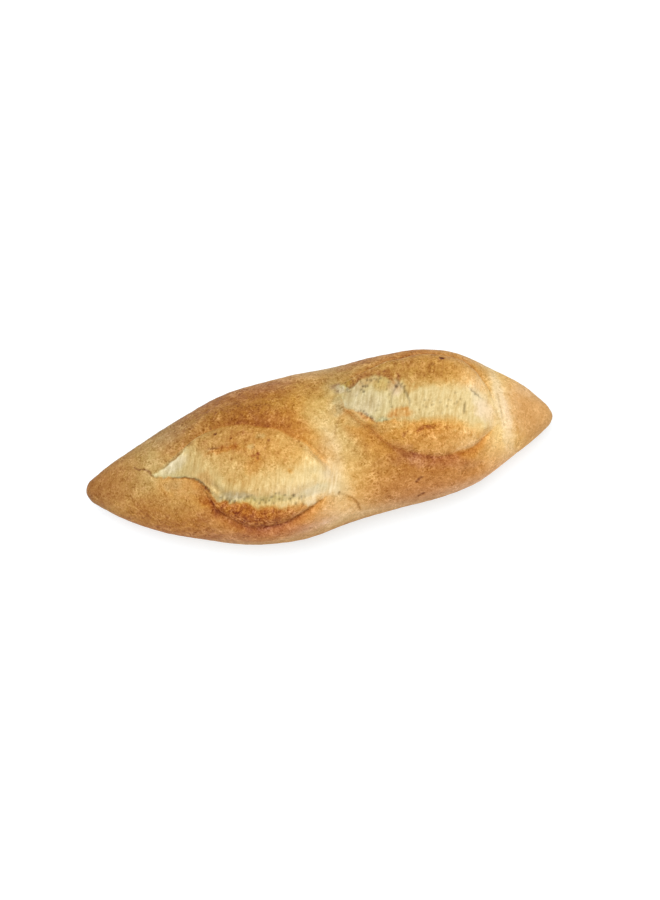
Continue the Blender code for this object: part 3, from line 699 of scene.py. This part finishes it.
def surface(along, across, places):
    """Height in mm over the uncut skin, the levels that colour each place, and its place along and across the
    cut whose fibres it has."""
    stray = WANDER * wander(places, WANDER_SIZE, (3.1, 0, 0))
    ragged = sum(size * wander(places, scale, (0, 0, 5.7 * i)) for i, (size, scale) in enumerate(RAGGED))
    x, s = along + stray, across + stray
    height = LUMP_HEIGHT * wander(places, LUMP_SIZE, (0, 7.3, 0))
    for i, (size, scale) in enumerate(BLISTERS):
        height += size * wander(places, scale, (0, 0, 11.3 + i))
    bake, grey, pink_and_sheen, under = uncut_colour(along, across)
    fibrous, pale = np.zeros(len(along)), np.zeros(len(along))
    coarse = np.where(np.abs(along) > SMOOTH_TIP, COARSE_TIP, 1.0)
    weave = np.zeros((len(along), 3))
    for cut, levels, tear in CUTS:
        height += cut_relief(x, s, cut)
        bake, grey = cut_levels(x, s, cut, levels, (bake, grey))
        share, from_near, from_far = torn(along, across, tear, ragged)
        fringe = share * (1 - smoothstep(from_near / FRINGE))
        bake = mix(bake, read(tear["bake"], along), share) + tear["fringe_bake"] * fringe
        grey = mix(grey, read(tear["grey"], along), share) + tear["fringe_grey"] * fringe
        near_rim, far_rim = rims(along, tear, from_near, from_far, share)
        bake += FAR_RIM_BAKE * far_rim
        height += FAR_RIM_HEIGHT * far_rim + RIM_HEIGHT * near_rim
        u, v = cut_frame(x, s, cut)
        inside, lobe = insides(u, v, cut)
        coarse += (COARSE_LOBE * lobe * bake + COARSE_INSIDE * inside) * (1 - share) + COARSE_TEAR * share
        drawn_out = np.column_stack([u / FIBRE_WIDTH, v / FIBRE_LENGTH, ragged])
        grain = np.clip(FIBRE_GAIN * wander(drawn_out, 1, (9, 0, 0)), -1, 1) * read(tear["fibre"], along)
        fibre = np.maximum(INSIDE_FIBRE * inside, share)
        height += FIBRE_HEIGHT * grain * fibre
        bake += FIBRE_BAKE * grain * fibre
        fibrous = np.maximum(fibrous, fibre)
        pale = np.maximum(pale, share)
        weave = np.where((fibre > 0)[:, None], np.column_stack([u, v, np.zeros(len(u))]), weave)
    # Pits and cracks: their dents, and the painted shade in them.
    rise, painted_shade = pit_marks(along, across)
    height += rise
    wobble = CRACK_WOBBLE * wander(places, CRACK_WOBBLE_SIZE, (4.4, 0, 0))
    for crack in CRACKS:
        rise, shade = crack_marks(along + wobble, across + wobble, *crack)
        height += rise
        painted_shade = np.maximum(painted_shade, shade)
    bake += MARK_BAKE * painted_shade * (1 - pale)
    painted_shade *= 1 - MARK_FADE * (1 - pale)
    for at, from_ridge, half_length, half_width, slant, more_baked, greyer, pinker in PATCHES:
        share = patch_share(along + ragged - at, across + ragged - from_ridge, half_length, half_width, slant)
        share = share * (1 - under)
        bake += more_baked * share
        grey += greyer * share
        pink_and_sheen += pinker * share
    levels = {"bake": bake, "grey": grey, "pink_and_sheen": pink_and_sheen, "torn": fibrous, "painted_shade": painted_shade, "coarse": coarse}
    return height, levels, weave


def loaf():
    """The loaf with its relief and levels, centred over the floor's origin."""
    rings, turns = ring_positions(), ring_turns()
    mesh = skin_mesh(rings, turns)
    size = len(mesh.vertices)
    points, normals = np.empty(size * 3), np.empty(size * 3)
    mesh.vertices.foreach_get("co", points)
    mesh.vertices.foreach_get("normal", normals)
    points, normals = points.reshape(-1, 3), normals.reshape(-1, 3)
    across = np.array([unrolled(x, turns) for x in rings]).ravel() / MM
    across = np.append(across, (0.0, 0.0))  # the two tips
    height, levels, weave = surface(points[:, 0] / MM, across, points / MM)
    height *= smoothstep(points[:, 2] / BELLY_HEIGHT)
    points += normals * height[:, None] * MM
    low, high = points.min(0), points.max(0)
    points -= [(low[0] + high[0]) / 2, (low[1] + high[1]) / 2, 0]
    mesh.vertices.foreach_set("co", points.ravel())
    mesh.update()
    mesh.shade_smooth()
    for name, values in levels.items():
        set_attribute(mesh, name, values)
    set_places(mesh, "weave", weave)
    return placed("loaf", mesh)


# --- Material -------------------------------------------------------------------------------------------
# How baked the crust is, and its colour there where it is golden and where it is grey.
CRUST_COLOURS = (
    (0.00, (243, 207, 139), (225, 211, 163)),
    (0.15, (233, 189, 115), (209, 193, 142)),
    (0.30, (216, 164, 85), (188, 169, 115)),
    (0.45, (200, 143, 65), (172, 148, 94)),
    (0.60, (183, 123, 50), (158, 128, 77)),
    (0.75, (165, 102, 38), (143, 106, 60)),
    (0.90, (146, 82, 31), (127, 85, 47)),
    (1.00, (123, 61, 23), (109, 65, 36)),
)
# The pink level is painted sheen on the sides, and a pinker tint in some patches and underneath; it tints by
# this colour.
PINK_AND_SHEEN = (1.0, 0.99, 1.6, 1)
# The colour that painted shade in the pits and cracks darkens the crust towards.
PAINTED_SHADE_COLOUR = (0.16, 0.13, 0.08, 1)
EYE_GAMMA = 2.2

# How far the noises swing and their size: the mottle and broad fibres in bake, the finer ones in lightness,
# alike in every colour. The fibres' noise is five times as long across the cut as it is wide.
MOTTLE, MOTTLE_SIZE = 0.27, 2.4 * MM
GRAIN, GRAIN_SIZE, GRAIN_CURL = 0.25, 0.8 * MM, 1.2
BROAD_FIBRE, BROAD_FIBRE_SIZE = 0.4, 1.6
FINE_FIBRE, FINE_FIBRE_SIZE = 0.18, 0.7
FIBRE_STRETCH = (1, 0.2, 1)
NOISE_ROUGHNESS = 0.6
# Light and dark curled lines: how far they swing in lightness, their size and how thin they are.
LIGHT_CURLS = (0.13, 2.1 * MM, 0.1)
DARK_CURLS = (-0.115, 1.6 * MM, 0.09)
CURL_BREAKS, CURLS_SHOWN = 4, 0.4  # how sharply the lines break up, and how many of them show
TORN_CURLS = 0.6  # how strong the lines are among the fibres
# How strong the noises are on pale crust, and how much stronger on baked crust and where there are no fibres.
PALE_NOISE, BAKED_STRONGER, SKIN_STRONGER = 0.68, 0.5, 0.4
ROUGHNESS, MOTTLE_GLOSS = 0.72, 0.8  # the browner spots of the mottle are a little glossier
SPECULAR = 0.2
BUMP_HEIGHT, BUMP_STRENGTH = 0.5 * MM, 0.6
LINE_BUMP = 2  # how much higher the fine lines stand than the mottle


def linear(colour):
    """An sRGB colour of 0 to 255 as linear light."""
    c = np.asarray(colour, float) / 255
    return [*np.where(c <= 0.04045, c / 12.92, ((c + 0.055) / 1.055) ** 2.4), 1.0]


def ramp(tree, factor, colours):
    """A colour ramp through (position, sRGB colour) stops."""
    node = tree.nodes.new("ShaderNodeValToRGB")
    stops = node.color_ramp.elements
    while len(stops) < len(colours):
        stops.new(0.5)
    for stop, (position, colour) in zip(stops, colours):
        stop.position = position
        stop.color = linear(colour)
    tree.links.new(factor, node.inputs["Fac"])
    return node.outputs["Color"]


def attribute(tree, name, output="Fac"):
    node = tree.nodes.new("ShaderNodeAttribute")
    node.attribute_name = name
    return node.outputs[output]


def maths(tree, operation, *values):
    """One operation on numbers or sockets."""
    node = tree.nodes.new("ShaderNodeMath")
    node.operation = operation
    for socket, value in zip(node.inputs, values):
        if isinstance(value, (int, float)):
            socket.default_value = value
        else:
            tree.links.new(value, socket)
    return node.outputs["Value"]


def product(tree, *values):
    """All the values multiplied."""
    result = values[0]
    for value in values[1:]:
        result = maths(tree, "MULTIPLY", result, value)
    return result


def total(tree, *values):
    """All the values added up."""
    result = values[0]
    for value in values[1:]:
        result = maths(tree, "ADD", result, value)
    return result


def gamma(tree, colour, power):
    node = tree.nodes.new("ShaderNodeGamma")
    node.inputs["Gamma"].default_value = power
    tree.links.new(colour, node.inputs["Color"])
    return node.outputs["Color"]


def overlay(tree, operation, amount, under, over, clamp=False):
    """A colour with another mixed into it, multiplied with it or added to it, by an amount."""
    node = tree.nodes.new("ShaderNodeMix")
    node.data_type = "RGBA"
    node.blend_type = operation
    node.clamp_factor = clamp
    tree.links.new(amount, node.inputs["Factor"])
    tree.links.new(under, node.inputs["A"])
    if isinstance(over, tuple):
        node.inputs["B"].default_value = over
    else:
        tree.links.new(over, node.inputs["B"])
    return node.outputs["Result"]


def grain(tree, places, size, detail, amount, curl=0.0):
    """Noise about 0 with features of a size, in the places' own unit."""
    node = tree.nodes.new("ShaderNodeTexNoise")
    node.inputs["Distortion"].default_value = curl
    node.inputs["Scale"].default_value = 1 / size
    node.inputs["Detail"].default_value = detail
    node.inputs["Roughness"].default_value = NOISE_ROUGHNESS
    tree.links.new(places, node.inputs["Vector"])
    return product(tree, maths(tree, "SUBTRACT", node.outputs["Fac"], 0.5), amount)


def curls(tree, places, swing, size, thin):
    """Thin curled lines, where a noise is halfway, broken up so that only some of them show."""
    halfway = maths(tree, "ABSOLUTE", grain(tree, places, size, 1, 1))
    line = maths(tree, "SUBTRACT", 1, maths(tree, "DIVIDE", halfway, thin))
    broken = total(tree, grain(tree, places, 2 * size, 1, CURL_BREAKS), CURLS_SHOWN)
    shown = product(tree, maths(tree, "MAXIMUM", line, 0), maths(tree, "MAXIMUM", broken, 0))
    return product(tree, maths(tree, "MINIMUM", shown, 1), swing)


def new_material(name):
    """A material and its shader."""
    material = bpy.data.materials.new(name)
    material.use_nodes = True
    return material, material.node_tree.nodes["Principled BSDF"]


def crust_material():
    material, shader = new_material("crust")
    tree = material.node_tree
    shader.inputs["Specular IOR Level"].default_value = SPECULAR
    places = tree.nodes.new("ShaderNodeTexCoord").outputs["Object"]
    drawn_out = tree.nodes.new("ShaderNodeVectorMath")
    drawn_out.operation = "MULTIPLY"
    drawn_out.inputs[1].default_value = FIBRE_STRETCH
    tree.links.new(attribute(tree, "weave", "Vector"), drawn_out.inputs[0])
    weave = drawn_out.outputs["Vector"]
    is_torn = attribute(tree, "torn")
    is_skin = maths(tree, "SUBTRACT", 1, is_torn)
    bake = attribute(tree, "bake")
    coarse = attribute(tree, "coarse")

    crusty = maths(tree, "MULTIPLY_ADD", bake, BAKED_STRONGER, PALE_NOISE)
    rougher = product(tree, maths(tree, "MULTIPLY_ADD", is_skin, SKIN_STRONGER, 1), crusty, coarse)
    mottle = product(tree, grain(tree, places, MOTTLE_SIZE, 2, MOTTLE), rougher)
    fine = product(tree, grain(tree, places, GRAIN_SIZE, 2, GRAIN, GRAIN_CURL), rougher)
    fibre = product(tree, grain(tree, weave, FINE_FIBRE_SIZE, 2, FINE_FIBRE), is_torn)
    broad = product(tree, grain(tree, weave, BROAD_FIBRE_SIZE, 1, BROAD_FIBRE), is_torn)
    curled = product(tree, maths(tree, "MULTIPLY_ADD", is_skin, 1 - TORN_CURLS, TORN_CURLS), crusty, coarse)
    lines = total(tree, curls(tree, places, *LIGHT_CURLS), curls(tree, places, *DARK_CURLS))
    bake = total(tree, bake, mottle, broad)
    light = total(tree, product(tree, lines, curled), fine, fibre)

    gold = ramp(tree, bake, [(position, colour) for position, colour, _ in CRUST_COLOURS])
    grey = ramp(tree, bake, [(position, colour) for position, _, colour in CRUST_COLOURS])
    colour = overlay(tree, "MIX", attribute(tree, "grey"), gold, grey)
    # Pink: painted sheen on the sides, a tint elsewhere.
    colour = overlay(tree, "MULTIPLY", attribute(tree, "pink_and_sheen"), colour, PINK_AND_SHEEN)
    # Painted shade in the pits and crack grooves.
    colour = overlay(tree, "MULTIPLY", attribute(tree, "painted_shade"), colour, PAINTED_SHADE_COLOUR, clamp=True)
    colour = overlay(tree, "ADD", light, gamma(tree, colour, 1 / EYE_GAMMA), (1, 1, 1, 1))
    tree.links.new(gamma(tree, colour, EYE_GAMMA), shader.inputs["Base Color"])
    roughness = maths(tree, "SUBTRACT", ROUGHNESS, product(tree, mottle, MOTTLE_GLOSS))
    tree.links.new(roughness, shader.inputs["Roughness"])
    bump = tree.nodes.new("ShaderNodeBump")
    bump.inputs["Distance"].default_value = BUMP_HEIGHT
    bump.inputs["Strength"].default_value = BUMP_STRENGTH
    tree.links.new(total(tree, product(tree, light, LINE_BUMP), mottle), bump.inputs["Height"])
    tree.links.new(bump.outputs["Normal"], shader.inputs["Normal"])
    return material


# --- Stage ----------------------------------------------------------------------------------------------
CAMERA_AZIMUTH = math.radians(-9.2)
CAMERA_ELEVATION = math.radians(78.0)
CAMERA_LENS = 100.0
PHOTO_WIDTH, PHOTO_HEIGHT = 660, 900
TIPS_MIDDLE_PIXEL = (320, 452.5)  # where the middle between the tips lies in the photo
TIPS_APART_PIXELS = 472.8
WORLD_STRENGTH = 0.55
KEY_PLACE, KEY_SIZE, KEY_POWER = (-0.15, 0.10, 1.2), 1.0, 12
FLOOR_HALF = 3.0
FLOOR_COLOUR, FLOOR_ROUGHNESS = (0.52, 0.545, 0.57, 1), 0.9
FLOOR_GLOW, FLOOR_GLOW_STRENGTH = (0.945, 0.985, 1, 1), 0.565  # it reads white but for a soft shadow


def camera():
    """A camera that sees the tips where the photo shows them."""
    data = bpy.data.cameras.new("camera")
    data.lens = CAMERA_LENS
    piece = placed("camera", data)
    azimuth, elevation = CAMERA_AZIMUTH, CAMERA_ELEVATION
    right = Vector((math.cos(azimuth), math.sin(azimuth), 0))
    level = Vector((math.sin(azimuth), -math.cos(azimuth), 0))
    back = level * math.cos(elevation) + Vector((0, 0, math.sin(elevation)))
    up = back.cross(right)
    focal_pixels = CAMERA_LENS / data.sensor_width * PHOTO_HEIGHT
    distance = focal_pixels * LENGTH / TIPS_APART_PIXELS
    aside = (TIPS_MIDDLE_PIXEL[0] - PHOTO_WIDTH / 2) / focal_pixels * distance
    below = (TIPS_MIDDLE_PIXEL[1] - PHOTO_HEIGHT / 2) / focal_pixels * distance
    place = Vector((0, 0, TIP_HEIGHT)) + back * distance - right * aside + up * below
    piece.matrix_world = Matrix.Translation(place) @ Matrix((right, up, back)).transposed().to_4x4()
    bpy.context.scene.camera = piece


def area_light(name, place, size, power):
    data = bpy.data.lights.new(name, "AREA")
    data.shape = "SQUARE"
    data.size = size
    data.energy = power
    piece = placed(name, data)
    piece.location = place
    piece.rotation_euler = (Vector((0, 0, 0)) - Vector(place)).to_track_quat("-Z", "Y").to_euler()


def stage():
    world = bpy.data.worlds.new("studio")
    bpy.context.scene.world = world
    world.use_nodes = True
    background = world.node_tree.nodes["Background"]
    background.inputs["Color"].default_value = (1, 1, 1, 1)
    background.inputs["Strength"].default_value = WORLD_STRENGTH
    area_light("key", KEY_PLACE, KEY_SIZE, KEY_POWER)
    mesh = bpy.data.meshes.new("floor")
    corners = [(-1, -1), (1, -1), (1, 1), (-1, 1)]
    mesh.from_pydata([(x * FLOOR_HALF, y * FLOOR_HALF, 0) for x, y in corners], [], [(0, 1, 2, 3)])
    floor = placed("floor", mesh)
    material, shader = new_material("floor")
    shader.inputs["Base Color"].default_value = FLOOR_COLOUR
    shader.inputs["Roughness"].default_value = FLOOR_ROUGHNESS
    shader.inputs["Emission Color"].default_value = FLOOR_GLOW
    shader.inputs["Emission Strength"].default_value = FLOOR_GLOW_STRENGTH
    mesh.materials.append(material)
    bpy.context.scene.view_settings.view_transform = "Standard"


def main():
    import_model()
    camera()
    stage()
    piece = loaf()
    piece.data.materials.append(crust_material())
    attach(piece, "root")
    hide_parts("baguette")


main()
